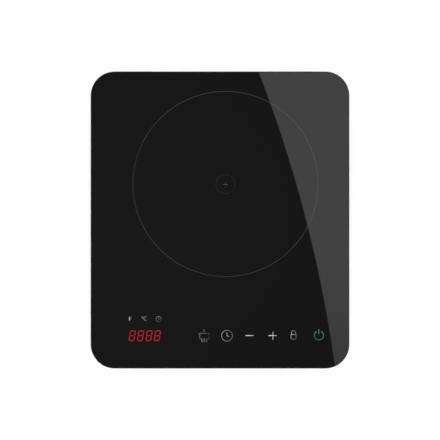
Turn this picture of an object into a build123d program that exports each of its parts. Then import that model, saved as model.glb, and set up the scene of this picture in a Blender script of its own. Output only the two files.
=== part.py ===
from build123d import *
import os
from math import atan, cos, degrees, pi, radians, sin, tan

# Portable single-zone induction cooktop, in millimetres.
# +X is to the user's right, +Y is to the rear, +Z is up. The origin is under the middle of the
# glass, on the surface that the feet stand on.

# ---------------------------------------------------------------- glass plate
glass_width = 280.0
glass_depth = 321.5
glass_thickness = 4.0
glass_corner = 26.0
glass_edge = 1.2  # ground edge
zone_offset = 6.4  # cooking zone's centre, right of the middle
zone_setback = 121.75  # rear edge of the glass to the zone's centre
key_row_setback = 35.25  # front edge of the glass to the row of keys

# ---------------------------------------------------------------- housing shells
overhang = 2.0  # glass past the frame, all round
wall = 2.5
floor = 2.5
deck = 2.5  # plate that carries the glass
frame_height = 15.0
tray_height = 35.0
tray_lean = 6.0  # how far each side of the tray leans in
tray_edge = 5.0  # rounding of the tray's bottom edge
parting_step = 0.8  # tray's rim stands back from the frame
lap_height = 2.5  # tongue of the tray inside the frame's rim
lap_wall = 1.1
clearance = 0.2
seal_thickness = 1.0
seal_width = 7.0
seal_inset = 5.0

# ---------------------------------------------------------------- feet
foot_height = 5.0  # below the tray
foot_radius = 10.0
foot_recess = 1.0
foot_peg_radius = 3.0
foot_inset_side = 36.0  # from the left and right edges of the glass
foot_inset_end = 24.5  # from the front and rear edges

# ---------------------------------------------------------------- housing screws
screw_inset = 21.0  # from the sides of the glass
screw_shank = 1.75
screw_head = 3.1
screw_head_height = 2.2
boss_radius = 4.5
boss_length = 29.0  # from the tray's underside to where tray and frame bosses meet
boss_seat = 3.0  # plastic under the screw's head
thread_bite = 9.0  # screw length in the frame's boss
thread_clearance = 0.05

# ---------------------------------------------------------------- induction coil
coil_inner = 24.0
coil_half_turns = 39
coil_pitch = 3.2
wire_radius = 1.5
mica_thickness = 0.5
mica_gap = 0.6  # under the glass
former_thickness = 3.0
former_margin = 3.0  # former past the coil
opening_margin = 3.0  # deck opening past the former
former_hub = 14.0
window_inner = 36.0
spoke_count = 8
spoke_width = 12.0
ferrite_length = 48.0
ferrite_width = 9.0
ferrite_thickness = 5.0
ferrite_pocket = 1.0
ear_radius = 7.0
post_radius = 4.5
post_hole = 1.3
coil_lead_drop = 8.4  # leads run this far under the coil former
lead_bend = 6.0

# ---------------------------------------------------------------- sensor under the glass
boot_radius = 7.0
boot_flange = 9.5
boot_flange_height = 1.5
bead_radius = 1.8
bead_length = 4.0
sensor_lead_radius = 0.9

# ---------------------------------------------------------------- cooling fan
fan_size = 80.0
fan_height = 20.0
fan_lift = 1.5  # above the tray's floor
fan_post_gap = 3.5  # fan to the coil post in front of it
fan_bore = 38.0
fan_flange = 3.0
fan_screw_spacing = 71.5
fan_hub = 15.0
fan_cup_wall = 1.5
fan_blade_count = 7
fan_blade_reach = 36.4
fan_blade_chord = 13.0
fan_blade_thickness = 1.4
fan_shaft = 1.5
fan_running_gap = 0.03
bearing_radius = 2.6
bearing_length = 9.0
magnet_thickness = 1.0
air_gap = 0.5

# ---------------------------------------------------------------- main board
board_width = 100.0
board_depth = 154.0
board_thickness = 1.6
board_lift = 6.5  # above the tray's floor
board_gap = 10.0  # board edge to the coil post beside it
board_hole_inset = 4.0
standoff_radius = 3.5
small_screw = 1.25
small_head = 2.6
small_head_height = 1.8

heatsink_width = 60.0
heatsink_depth = 56.0
heatsink_base = 3.5
heatsink_headroom = 12.8  # under the coil former
fin_count = 12
fin_thickness = 1.5
device_gap = 1.0
device_height = 5.0

# ---------------------------------------------------------------- control board
control_front = 8.5  # board edge in front of the key row
control_rear = 26.5  # board edge behind the key row
control_drop = 8.0  # board's top face under the glass
control_margin_left = 10.4  # board's end past the display
control_margin_right = 14.9  # board's end past the last key
key_shares = (-0.0621, 0.0271, 0.1161, 0.2039, 0.285, 0.3825)  # of the glass's width, from its middle
spring_radius = 4.6
spring_wire = 0.3
spring_turns = 5
display_share = -0.2914  # of the glass's width, from its middle
display_width = 40.0
display_depth = 2 * control_front - 2
display_gap = 0.5  # under the glass
digit_count = 4
digit_pitch = 9.1
digit_height = 11.6
digit_width = 6.6
digit_stroke = 1.15
digit_slant = 9.0
segment_depth = 0.3
indicator_row = 18.1  # behind the key row
indicator_offsets = (-15.3, -0.6, 14.9)  # from the display's middle
mask_depth = 8.0

# ---------------------------------------------------------------- vents and cord inlet
slot_width = 3.0
slot_pitch = 6.0
slot_low = 9.0  # above the tray's underside
slot_high = 27.0
rear_slots = 16
rear_slots_middle = 26.0
side_slots = 13
side_slots_middle = 86.0
grille_radius = 36.5
grille_rings = 5
grille_slot = 3.2
grille_pitch = 5.6
grille_ribs = 8
inlet_place = 95.0
inlet_drop = 16.0  # below the parting line
inlet_bore = 3.6
gland_radius = 6.0
gland_flange = 8.5
gland_pad = 10.5
plate_width = 70.0
plate_depth = 38.0
plate_thickness = 0.3

# ---------------------------------------------------------------- derived levels and places
z_tray = foot_height
z_floor = z_tray + floor
z_parting = z_tray + tray_height
z_deck = z_parting + frame_height
z_glass = z_deck + seal_thickness
z_top = z_glass + glass_thickness
lean_angle = degrees(atan(tray_lean / tray_height))
half_width = glass_width / 2
half_depth = glass_depth / 2
boss_joint = z_tray + boss_length
board_height = z_floor + board_lift
inlet_height = z_parting - inlet_drop
coil_x = zone_offset
coil_y = half_depth - zone_setback
key_row = -half_depth + key_row_setback

z_mica = z_glass - mica_gap - mica_thickness
z_wire = z_mica - 0.1 - wire_radius
z_former = z_wire - wire_radius - former_thickness
coil_lead_height = z_former - coil_lead_drop
heatsink_top = z_former - heatsink_headroom
coil_outer = coil_inner + coil_half_turns * coil_pitch / 2 + wire_radius
former_radius = coil_outer + former_margin
opening_radius = former_radius + opening_margin
post_circle = coil_outer + ear_radius + 1.0
z_ear = z_former - 2.0

tray_inset_low = overhang + parting_step + tray_lean
tray_inner_low = half_width - tray_inset_low - wall
board_x = coil_x + post_circle - post_radius - board_gap - board_width / 2
board_y = coil_y
z_board = board_height + board_thickness
board_left = board_x - board_width / 2
fan_x = (board_left - tray_inner_low) / 2
fan_y = coil_y + post_radius + fan_post_gap + fan_size / 2
z_fan = z_floor + fan_lift
z_control = z_glass - control_drop

screw_x = half_width - screw_inset
screw_y = half_depth - screw_inset
screw_points = [(x, y) for x in (-screw_x, screw_x) for y in (-screw_y, 0.0, screw_y)]
foot_x = half_width - foot_inset_side
foot_y = half_depth - foot_inset_end
foot_points = {
    "foot_front_left": (-foot_x, -foot_y),
    "foot_front_right": (foot_x, -foot_y),
    "foot_rear_left": (-foot_x, foot_y),
    "foot_rear_right": (foot_x, foot_y),
}
board_hole_x = board_width / 2 - board_hole_inset
board_hole_y = board_depth / 2 - board_hole_inset
board_holes = [
    (board_x + i * board_hole_x, board_y + j * board_hole_y) for i in (-1, 1) for j in (-1, 1)
]
post_points = [
    (coil_x + post_circle * cos(a), coil_y + post_circle * sin(a))
    for a in (0.0, pi / 2, pi, 3 * pi / 2)
]
key_places = [share * glass_width for share in key_shares]
display_middle = display_share * glass_width
indicator_places = [display_middle + offset_x for offset_x in indicator_offsets]
control_left = display_middle - display_width / 2 - control_margin_left
control_right = key_places[-1] + control_margin_right
control_width = control_right - control_left
control_depth = control_front + control_rear
control_x = (control_left + control_right) / 2
control_y = key_row + (control_rear - control_front) / 2
control_holes = [
    (control_x + i * (control_width / 2 - 4), control_y + j * (control_depth / 2 - 4))
    for i in (-1, 1)
    for j in (-1, 1)
]
socket_x = board_x - 8.0  # where the ribbon cable joins both boards
control_socket_y = key_row + 20.5
main_socket_y = board_y - board_depth / 2 + 5.0
socket_height = 6.0
main_socket_height = 9.0

made = []


def finish(builder, label):
    """Labels a finished piece and writes its STEP file."""
    builder.part.label = label
    export_step(builder.part, f"parts/{label}.step")
    made.append(label)


def outline(inset):
    """The glass's outline, moved in by inset. It goes into the sketch that is open."""
    RectangleRounded(glass_width - 2 * inset, glass_depth - 2 * inset, glass_corner - inset)


def screw(head_radius, head_height, shank_radius, length):
    """A pan-head screw with a cross recess. Its head sits on the origin and its shank goes up."""
    with BuildPart() as body:
        Cylinder(head_radius, head_height, align=(Align.CENTER, Align.CENTER, Align.MAX))
        fillet(body.edges().sort_by(Axis.Z)[0], head_height * 0.4)
        Cylinder(shank_radius, length, align=(Align.CENTER, Align.CENTER, Align.MIN))
        chamfer(body.edges().sort_by(Axis.Z)[-1], shank_radius * 0.4)
        with BuildSketch(Plane.XY.offset(-head_height)):
            Rectangle(head_radius * 1.1, head_radius * 0.3)
            Rectangle(head_radius * 0.3, head_radius * 1.1)
        extrude(amount=head_height * 0.6, mode=Mode.SUBTRACT)
    return body.part


def lead(points, radius, bends):
    """A round wire along straight runs joined by arcs, with one bend radius for each corner."""
    with BuildPart() as wire:
        with BuildLine() as route:
            FilletPolyline(*points, radius=bends)
        with BuildSketch(Plane(origin=route.line @ 0, z_dir=route.line % 0)):
            Circle(radius)
        sweep()
    return wire.part


def on_board(u, v):
    """A place on the main board, from its middle."""
    return (board_x + u, board_y + v, z_board)


os.makedirs("parts", exist_ok=True)

# ================================================================ glass and its seal
with BuildPart() as glass_top:
    with BuildSketch(Plane.XY.offset(z_glass)):
        outline(0)
    extrude(amount=glass_thickness)
    fillet(glass_top.faces().sort_by(Axis.Z)[-1].edges(), glass_edge)
    fillet(glass_top.faces().sort_by(Axis.Z)[0].edges(), glass_edge * 0.6)
finish(glass_top, "glass_top")

with BuildPart() as glass_seal:
    with BuildSketch(Plane.XY.offset(z_deck)):
        outline(seal_inset)
        with BuildSketch(mode=Mode.SUBTRACT):
            outline(seal_inset + seal_width)
    extrude(amount=seal_thickness)
finish(glass_seal, "glass_seal")

# ================================================================ upper frame
with BuildPart() as upper_frame:
    with BuildSketch(Plane.XY.offset(z_parting)):
        outline(overhang)
    extrude(amount=frame_height)
    fillet(upper_frame.faces().sort_by(Axis.Z)[-1].edges(), 1.0)
    with BuildSketch(Plane.XY.offset(z_parting)):
        outline(overhang + wall)
    extrude(amount=frame_height - deck, mode=Mode.SUBTRACT)
    with BuildSketch(Plane.XY.offset(z_parting)):
        outline(overhang + wall - lap_wall)
    extrude(amount=lap_height + clearance, mode=Mode.SUBTRACT)
    with BuildSketch(Plane.XY.offset(z_deck)):
        with Locations((coil_x, coil_y)):
            Circle(opening_radius)
        with Locations((control_x, control_y)):
            Rectangle(control_width - 16, control_depth - 1)
    extrude(amount=-deck, mode=Mode.SUBTRACT)
    # Bosses for the housing screws hang from the deck, and short ones carry the control board.
    with BuildSketch(Plane.XY.offset(boss_joint)):
        with Locations(*screw_points):
            Circle(boss_radius)
    extrude(amount=z_deck - deck - boss_joint)
    with BuildSketch(Plane.XY.offset(z_control)):
        with Locations(*control_holes):
            Circle(standoff_radius)
    extrude(amount=z_deck - deck - z_control)
    with Locations(*[(x, y, boss_joint) for x, y in screw_points]):
        Cylinder(
            screw_shank + thread_clearance,
            thread_bite + 2,
            align=(Align.CENTER, Align.CENTER, Align.MIN),
            mode=Mode.SUBTRACT,
        )
    with Locations(*[(x, y, z_control) for x, y in control_holes]):
        Cylinder(
            small_screw + thread_clearance,
            5.0,
            align=(Align.CENTER, Align.CENTER, Align.MIN),
            mode=Mode.SUBTRACT,
        )
finish(upper_frame, "upper_frame")

# ================================================================ bottom housing
z_screw_seat = boss_joint - boss_seat
lean_at_gland = (z_parting - inlet_height - gland_flange) * tray_lean / tray_height
inlet_pad_y = half_depth - overhang - parting_step - lean_at_gland + 0.1  # pad's outer face
inlet_pad_depth = wall + tray_lean

with BuildPart() as bottom_housing:
    with BuildSketch(Plane.XY.offset(z_parting)):
        outline(overhang + parting_step)
    extrude(amount=-tray_height, taper=lean_angle)
    fillet(bottom_housing.faces().sort_by(Axis.Z)[0].edges(), tray_edge)
    with BuildSketch(Plane.XY.offset(z_parting)):
        outline(overhang + parting_step + wall)
    extrude(amount=-(tray_height - floor), taper=lean_angle, mode=Mode.SUBTRACT)
    # Tongue that locates the tray inside the frame's rim.
    with BuildSketch(Plane.XY.offset(z_parting - 1.0)):
        outline(overhang + wall - lap_wall + clearance)
        with BuildSketch(mode=Mode.SUBTRACT):
            outline(overhang + parting_step + wall)
    extrude(amount=lap_height + 1.0)
    # Bosses for the housing screws, posts for the coil, standoffs for the board and the fan.
    with BuildSketch(Plane.XY.offset(z_floor - 1.0)):
        with Locations(*screw_points):
            Circle(boss_radius)
    extrude(amount=boss_joint - z_floor + 1.0)
    with BuildSketch(Plane.XY.offset(z_floor - 1.0)):
        with Locations(*post_points):
            Circle(post_radius)
    extrude(amount=z_ear - z_floor + 1.0)
    with BuildSketch(Plane.XY.offset(z_floor - 1.0)):
        with Locations(*board_holes):
            Circle(standoff_radius)
    extrude(amount=board_height - z_floor + 1.0)
    with BuildSketch(Plane.XY.offset(z_floor - 1.0)):
        with Locations((fan_x, fan_y)):
            with GridLocations(fan_screw_spacing, fan_screw_spacing, 2, 2):
                Circle(standoff_radius)
    extrude(amount=fan_lift + 1.0)
    # Stiffening ribs on the open stretch of floor at the front.
    rib_front = -half_depth + tray_inset_low + wall - 1.0
    rib_rear = coil_y - post_circle - post_radius - 3.0
    with BuildSketch(Plane.XY.offset(z_floor - 1.0)):
        with Locations((0, (rib_front + rib_rear) / 2)):
            with GridLocations(glass_width / 5, 1, 3, 1):
                Rectangle(1.6, rib_rear - rib_front)
    extrude(amount=6.0)
    # Flat pad in the rear wall, which the cord's gland sits in.
    with BuildSketch(Plane.XZ.offset(-inlet_pad_y)):
        with Locations((inlet_place, inlet_height)):
            Circle(gland_pad)
    extrude(amount=inlet_pad_depth)
    with BuildSketch(Plane.XZ.offset(-inlet_pad_y)):
        with Locations((inlet_place, inlet_height)):
            Circle(gland_radius)
    extrude(amount=inlet_pad_depth, mode=Mode.SUBTRACT)
    # Screw holes, entered from below.
    with Locations(*[(x, y, z_tray) for x, y in screw_points]):
        Cylinder(
            screw_head + clearance,
            z_screw_seat - z_tray,
            align=(Align.CENTER, Align.CENTER, Align.MIN),
            mode=Mode.SUBTRACT,
        )
        Cylinder(
            screw_shank + clearance,
            boss_joint - z_tray,
            align=(Align.CENTER, Align.CENTER, Align.MIN),
            mode=Mode.SUBTRACT,
        )
    # Pilot holes in the posts and standoffs.
    with Locations(*[(x, y, z_ear) for x, y in post_points]):
        Cylinder(
            post_hole + thread_clearance,
            12.0,
            align=(Align.CENTER, Align.CENTER, Align.MAX),
            mode=Mode.SUBTRACT,
        )
    with Locations(*[(x, y, board_height) for x, y in board_holes]):
        Cylinder(
            small_screw + thread_clearance,
            6.5,
            align=(Align.CENTER, Align.CENTER, Align.MAX),
            mode=Mode.SUBTRACT,
        )
    with Locations((fan_x, fan_y, z_fan)):
        with GridLocations(fan_screw_spacing, fan_screw_spacing, 2, 2):
            Cylinder(
                small_screw + thread_clearance,
                fan_lift + 1.2,
                align=(Align.CENTER, Align.CENTER, Align.MAX),
                mode=Mode.SUBTRACT,
            )
    # Recesses and peg holes for the feet.
    with Locations(*[(x, y, z_tray) for x, y in foot_points.values()]):
        Cylinder(
            foot_radius + clearance,
            foot_recess,
            align=(Align.CENTER, Align.CENTER, Align.MIN),
            mode=Mode.SUBTRACT,
        )
        Cylinder(
            foot_peg_radius,
            floor,
            align=(Align.CENTER, Align.CENTER, Align.MIN),
            mode=Mode.SUBTRACT,
        )
    # Intake grille under the fan: round slots crossed by ribs, from the widest inwards.
    with BuildSketch(Plane.XY.offset(z_tray)):
        with Locations((fan_x, fan_y)):
            for k in range(grille_rings):
                Circle(grille_radius - k * grille_pitch)
                Circle(grille_radius - k * grille_pitch - grille_slot, mode=Mode.SUBTRACT)
            with PolarLocations(grille_radius / 2, grille_ribs):
                Rectangle(grille_radius + 2, 2.4, mode=Mode.SUBTRACT)
    extrude(amount=floor, mode=Mode.SUBTRACT)
    # Exhaust slots in the rear wall and both side walls.
    slot_length = slot_high - slot_low
    slot_middle = z_tray + (slot_high + slot_low) / 2
    slot_reach = tray_lean + wall + 2.0
    with BuildSketch(Plane.XZ.offset(-half_depth)):
        with Locations((rear_slots_middle, slot_middle)):
            with GridLocations(slot_pitch, 1, rear_slots, 1):
                SlotOverall(slot_length, slot_width, rotation=90)
    extrude(amount=slot_reach, mode=Mode.SUBTRACT)
    with BuildSketch(Plane.YZ.offset(half_width)):
        with Locations((side_slots_middle, slot_middle)):
            with GridLocations(slot_pitch, 1, side_slots, 1):
                SlotOverall(slot_length, slot_width, rotation=90)
    extrude(amount=-slot_reach, mode=Mode.SUBTRACT)
    with BuildSketch(Plane.YZ.offset(-half_width)):
        with Locations((side_slots_middle, slot_middle)):
            with GridLocations(slot_pitch, 1, side_slots, 1):
                SlotOverall(slot_length, slot_width, rotation=90)
    extrude(amount=slot_reach, mode=Mode.SUBTRACT)
    # Shallow recess for the blank rating plate.
    plate_y = key_row + 45.0
    with BuildSketch(Plane.XY.offset(z_tray)):
        with Locations((coil_x + 30, plate_y)):
            RectangleRounded(plate_width, plate_depth, 3.0)
    extrude(amount=plate_thickness + 0.2, mode=Mode.SUBTRACT)
finish(bottom_housing, "bottom_housing")

with BuildPart() as rating_plate:
    with BuildSketch(Plane.XY.offset(z_tray + 0.2)):
        with Locations((coil_x + 30, plate_y)):
            RectangleRounded(plate_width - 2 * clearance, plate_depth - 2 * clearance, 2.8)
    extrude(amount=plate_thickness)
finish(rating_plate, "rating_plate")

housing_screw = screw(screw_head, screw_head_height, screw_shank, boss_seat + thread_bite)
with BuildPart() as housing_screws:
    with Locations(*[(x, y, z_screw_seat) for x, y in screw_points]):
        add(housing_screw)
finish(housing_screws, "housing_screws")

for foot_name, (foot_at_x, foot_at_y) in foot_points.items():
    with BuildPart() as foot:
        with Locations((foot_at_x, foot_at_y, 0)):
            Cylinder(
                foot_radius,
                foot_height + foot_recess,
                align=(Align.CENTER, Align.CENTER, Align.MIN),
            )
        fillet(foot.edges().sort_by(Axis.Z)[0], 1.2)
        with Locations((foot_at_x, foot_at_y, foot_height + foot_recess)):
            Cylinder(
                foot_peg_radius,
                floor - foot_recess,
                align=(Align.CENTER, Align.CENTER, Align.MIN),
            )
        with Locations((foot_at_x, foot_at_y, 0)):
            Cylinder(
                foot_radius * 0.45,
                0.8,
                align=(Align.CENTER, Align.CENTER, Align.MIN),
                mode=Mode.SUBTRACT,
            )
    finish(foot, foot_name)

# ================================================================ cord gland
gland_flange_thickness = 2.5
gland_tail = 3.0
with BuildPart() as cord_gland:
    with BuildSketch(Plane.XZ.offset(-inlet_pad_y - gland_flange_thickness)):
        with Locations((inlet_place, inlet_height)):
            Circle(gland_flange)
    extrude(amount=gland_flange_thickness)
    fillet(cord_gland.edges().sort_by(Axis.Y)[-1], 0.8)
    with BuildSketch(Plane.XZ.offset(-inlet_pad_y)):
        with Locations((inlet_place, inlet_height)):
            Circle(gland_radius)
    extrude(amount=inlet_pad_depth + gland_tail)
    with BuildSketch(Plane.XZ.offset(-inlet_pad_y - gland_flange_thickness)):
        with Locations((inlet_place, inlet_height)):
            Circle(inlet_bore)
    extrude(
        amount=gland_flange_thickness + inlet_pad_depth + gland_tail, mode=Mode.SUBTRACT
    )
finish(cord_gland, "cord_gland")

# ================================================================ coil stack
with BuildPart() as mica_sheet:
    with BuildSketch(Plane.XY.offset(z_mica)):
        with Locations((coil_x, coil_y)):
            Circle(former_radius)
            Circle(boot_radius + 1, mode=Mode.SUBTRACT)
    extrude(amount=mica_thickness)
finish(mica_sheet, "mica_sheet")

# The flat coil is a spiral of half circles, each a little wider than the last.
with BuildPart() as induction_coil:
    with BuildLine(Plane(origin=(coil_x, coil_y, z_wire))) as spiral:
        for k in range(coil_half_turns):
            side = 1 if k % 2 == 0 else -1
            CenterArc(
                (-side * coil_pitch / 4, 0),
                coil_inner + k * coil_pitch / 2 + coil_pitch / 4,
                0 if side == 1 else 180,
                180,
            )
    with BuildSketch(
        Plane(origin=(coil_x + coil_inner, coil_y, z_wire), z_dir=(0, 1, 0))
    ):
        Circle(wire_radius)
    sweep()
finish(induction_coil, "induction_coil")

coil_end = coil_outer - wire_radius
outer_drop = 15.0  # along Y from the coil's outer end to where its lead turns down
inner_drop = 3.2  # the same at the inner end, short of the next turn
with BuildPart() as coil_former:
    with BuildSketch(Plane.XY.offset(z_former)):
        with Locations((coil_x, coil_y)):
            Circle(former_radius)
            Circle(boot_radius + clearance, mode=Mode.SUBTRACT)
    extrude(amount=former_thickness)
    # Windows between the spokes.
    with BuildSketch(Plane.XY.offset(z_former)):
        with Locations((coil_x, coil_y)):
            Circle(coil_outer - 4)
            Circle(window_inner, mode=Mode.SUBTRACT)
            with PolarLocations(coil_outer / 2, spoke_count, start_angle=22.5):
                Rectangle(coil_outer, spoke_width, mode=Mode.SUBTRACT)
    extrude(amount=former_thickness, mode=Mode.SUBTRACT)
    # Notch and hole that the coil's two ends go down through.
    with BuildSketch(Plane.XY.offset(z_former)):
        with Locations(
            (coil_x - coil_end - 1, coil_y - outer_drop + 1.0),
            (coil_x + coil_inner, coil_y - inner_drop + 0.5),
        ):
            Rectangle(6.0, 9.0)
    extrude(amount=former_thickness, mode=Mode.SUBTRACT)
    # Ears that stand on the housing's posts, outside the coil.
    with BuildSketch(Plane.XY.offset(z_ear)):
        with Locations(*post_points):
            Circle(ear_radius)
        with Locations((coil_x, coil_y)):
            with PolarLocations(post_circle - ear_radius, 4):
                Rectangle(2 * ear_radius, 2 * ear_radius)
    extrude(amount=z_former - z_ear)
    with Locations(*[(x, y, z_ear) for x, y in post_points]):
        Cylinder(
            post_hole + clearance,
            former_thickness + 2,
            align=(Align.CENTER, Align.CENTER, Align.MIN),
            mode=Mode.SUBTRACT,
        )
    # Shallow pockets for the ferrite bars, under the spokes.
    with BuildSketch(Plane.XY.offset(z_former)):
        with Locations((coil_x, coil_y)):
            with PolarLocations(window_inner + ferrite_length / 2, spoke_count, start_angle=22.5):
                Rectangle(ferrite_length, ferrite_width)
    extrude(amount=ferrite_pocket, mode=Mode.SUBTRACT)
finish(coil_former, "coil_former")

with BuildPart() as ferrite_bars:
    with BuildSketch(Plane.XY.offset(z_former + ferrite_pocket)):
        with Locations((coil_x, coil_y)):
            with PolarLocations(window_inner + ferrite_length / 2, spoke_count, start_angle=22.5):
                Rectangle(ferrite_length, ferrite_width)
    extrude(amount=-ferrite_thickness)
finish(ferrite_bars, "ferrite_bars")

coil_screw = screw(small_head, small_head_height, post_hole, 11.0)
with BuildPart() as coil_screws:
    with Locations(*[(x, y, z_former) for x, y in post_points]):
        add(coil_screw, rotation=(180, 0, 0))
finish(coil_screws, "coil_screws")

with BuildPart() as sensor_boot:
    with BuildSketch(Plane.XY.offset(z_former - boot_flange_height)):
        with Locations((coil_x, coil_y)):
            Circle(boot_flange)
    extrude(amount=boot_flange_height)
    with BuildSketch(Plane.XY.offset(z_former)):
        with Locations((coil_x, coil_y)):
            Circle(boot_radius)
    extrude(amount=z_glass - z_former)
    with BuildSketch(Plane.XY.offset(z_former - boot_flange_height)):
        with Locations((coil_x, coil_y)):
            Circle(bead_radius)
    extrude(amount=z_glass - z_former + boot_flange_height - 0.8, mode=Mode.SUBTRACT)
finish(sensor_boot, "sensor_boot")

z_bead = z_glass - 0.8 - bead_length
with BuildPart() as glass_thermistor:
    with BuildSketch(Plane.XY.offset(z_bead)):
        with Locations((coil_x, coil_y)):
            Circle(bead_radius)
    extrude(amount=bead_length)
finish(glass_thermistor, "glass_thermistor")

# ================================================================ main board and what is on it
with BuildPart() as main_board:
    with BuildSketch(Plane.XY.offset(board_height)):
        with Locations((board_x, board_y)):
            RectangleRounded(board_width, board_depth, 2.0)
        with Locations(*board_holes):
            Circle(small_screw + clearance, mode=Mode.SUBTRACT)
    extrude(amount=board_thickness)
finish(main_board, "main_board")

main_board_screw = screw(small_head, small_head_height, small_screw, 7.0)
with BuildPart() as main_board_screws:
    with Locations(*[(x, y, z_board) for x, y in board_holes]):
        add(main_board_screw, rotation=(180, 0, 0))
finish(main_board_screws, "main_board_screws")

heatsink_u = -board_width / 2 + 4 + heatsink_width / 2
heatsink_v = 40.0
igbt_u = heatsink_u - 14.0
bridge_u = heatsink_u + 13.0
z_heatsink = z_board + device_gap + device_height
fin_pitch = (heatsink_depth - fin_thickness) / (fin_count - 1)
with BuildPart() as heatsink:
    with BuildSketch(Plane.XY.offset(z_heatsink)):
        with Locations(on_board(heatsink_u, heatsink_v)[:2]):
            Rectangle(heatsink_width, heatsink_depth)
    extrude(amount=heatsink_base)
    with BuildSketch(Plane.XY.offset(z_heatsink)):
        with Locations(on_board(heatsink_u, heatsink_v)[:2]):
            with GridLocations(1, fin_pitch, 1, fin_count):
                Rectangle(heatsink_width, fin_thickness)
    extrude(amount=heatsink_top - z_heatsink)
    with BuildSketch(Plane.XY.offset(z_heatsink + heatsink_base)):
        with Locations(on_board(igbt_u, heatsink_v)[:2], on_board(bridge_u, heatsink_v)[:2]):
            Circle(small_head + 1.4)
    extrude(amount=heatsink_top - z_heatsink, mode=Mode.SUBTRACT)
    with BuildSketch(Plane.XY.offset(z_heatsink)):
        with Locations(on_board(igbt_u, heatsink_v)[:2], on_board(bridge_u, heatsink_v)[:2]):
            Circle(small_screw + clearance)
    extrude(amount=heatsink_base, mode=Mode.SUBTRACT)
    with BuildSketch(Plane.XY.offset(z_board)):
        with Locations(on_board(heatsink_u, heatsink_v)[:2]):
            with GridLocations(heatsink_width - 4, heatsink_depth - 4, 2, 2):
                Rectangle(4.0, 4.0)
    extrude(amount=z_heatsink - z_board)
finish(heatsink, "heatsink")


def flat_device(width, depth, leg_count, leg_pitch):
    """A flat power device under the heatsink, its legs bent down to the board."""
    leg_width = 1.2
    leg_height = device_gap + device_height / 2
    with BuildPart() as device:
        with Locations((0, 0, device_gap)):
            Box(width, depth, device_height, align=(Align.CENTER, Align.CENTER, Align.MIN))
        with Locations((0, -depth / 2 - 1.0, leg_height)):
            with GridLocations(leg_pitch, 1, leg_count, 1):
                Box(leg_width, 3.0, 0.6)
        with Locations((0, -depth / 2 - 2.2, 0)):
            with GridLocations(leg_pitch, 1, leg_count, 1):
                Box(leg_width, 0.6, leg_height + 0.3, align=(Align.CENTER, Align.CENTER, Align.MIN))
        Cylinder(
            small_screw + clearance,
            device_gap + device_height,
            align=(Align.CENTER, Align.CENTER, Align.MIN),
            mode=Mode.SUBTRACT,
        )
    return device.part


three_leg_device = flat_device(15.8, 20.8, 3, 5.4)
with BuildPart() as igbt:
    with Locations(on_board(igbt_u, heatsink_v)):
        add(three_leg_device)
finish(igbt, "igbt")

four_leg_device = flat_device(29.0, 19.5, 4, 7.5)
with BuildPart() as bridge_rectifier:
    with Locations(on_board(bridge_u, heatsink_v)):
        add(four_leg_device)
finish(bridge_rectifier, "bridge_rectifier")

device_screw = screw(small_head, small_head_height, small_screw, 9.0)
with BuildPart() as device_screws:
    with Locations(
        (board_x + igbt_u, board_y + heatsink_v, z_heatsink + heatsink_base),
        (board_x + bridge_u, board_y + heatsink_v, z_heatsink + heatsink_base),
    ):
        add(device_screw, rotation=(180, 0, 0))
finish(device_screws, "device_screws")


def film_capacitor(width, depth, height):
    """A boxed film capacitor standing on the board."""
    with BuildPart() as capacitor:
        Box(width, depth, height, align=(Align.CENTER, Align.CENTER, Align.MIN))
        fillet(capacitor.edges().filter_by(Axis.Z), 1.2)
        fillet(capacitor.faces().sort_by(Axis.Z)[-1].edges(), 0.8)
    return capacitor.part


capacitor_u = board_width / 2 - 18.0
for capacitor_name, capacitor_place, capacitor_size in (
    ("smoothing_capacitor", on_board(capacitor_u, 50), (28, 38, 19)),
    ("resonant_capacitor", on_board(capacitor_u, 14), (28, 22, 18)),
    ("mains_filter_capacitor", on_board(30, -50), (26, 12, 18)),
):
    boxed_capacitor = film_capacitor(*capacitor_size)
    with BuildPart() as capacitor_on_board:
        with Locations(capacitor_place):
            add(boxed_capacitor)
    finish(capacitor_on_board, capacitor_name)

core_outer = 14.0
core_inner = 8.0
core_height = 9.0
core_lift = 2.0
winding_build = 1.4
choke_turns = 18
choke_place = on_board(-2, -50)
with BuildPart() as choke_core:
    with Locations(choke_place):
        with Locations((0, 0, core_lift)):
            Cylinder(core_outer, core_height, align=(Align.CENTER, Align.CENTER, Align.MIN))
            Cylinder(
                core_inner,
                core_height,
                align=(Align.CENTER, Align.CENTER, Align.MIN),
                mode=Mode.SUBTRACT,
            )
finish(choke_core, "choke_core")

# The winding is a ring of closed turns round the core, with gaps between them.
with BuildPart() as choke_winding:
    with Locations(choke_place):
        with Locations((0, 0, core_lift - winding_build)):
            Cylinder(
                core_outer + winding_build,
                core_height + 2 * winding_build,
                align=(Align.CENTER, Align.CENTER, Align.MIN),
            )
            Cylinder(
                core_inner - winding_build,
                core_height + 2 * winding_build,
                align=(Align.CENTER, Align.CENTER, Align.MIN),
                mode=Mode.SUBTRACT,
            )
    add(choke_core.part, mode=Mode.SUBTRACT)
    with Locations(choke_place):
        with PolarLocations((core_outer + core_inner) / 2, choke_turns):
            Box(
                core_outer - core_inner + 6 * winding_build,
                0.9,
                40.0,
                mode=Mode.SUBTRACT,
            )
finish(choke_winding, "choke_winding")

transformer_place = on_board(34, -16)
with BuildPart() as transformer_core:
    with Locations(transformer_place):
        Box(20, 6, 17, align=(Align.CENTER, Align.CENTER, Align.MIN))
        with Locations((-6, 0, 2.5), (6, 0, 2.5)):
            Box(5, 6, 12, align=(Align.CENTER, Align.CENTER, Align.MIN), mode=Mode.SUBTRACT)
finish(transformer_core, "transformer_core")

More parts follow.
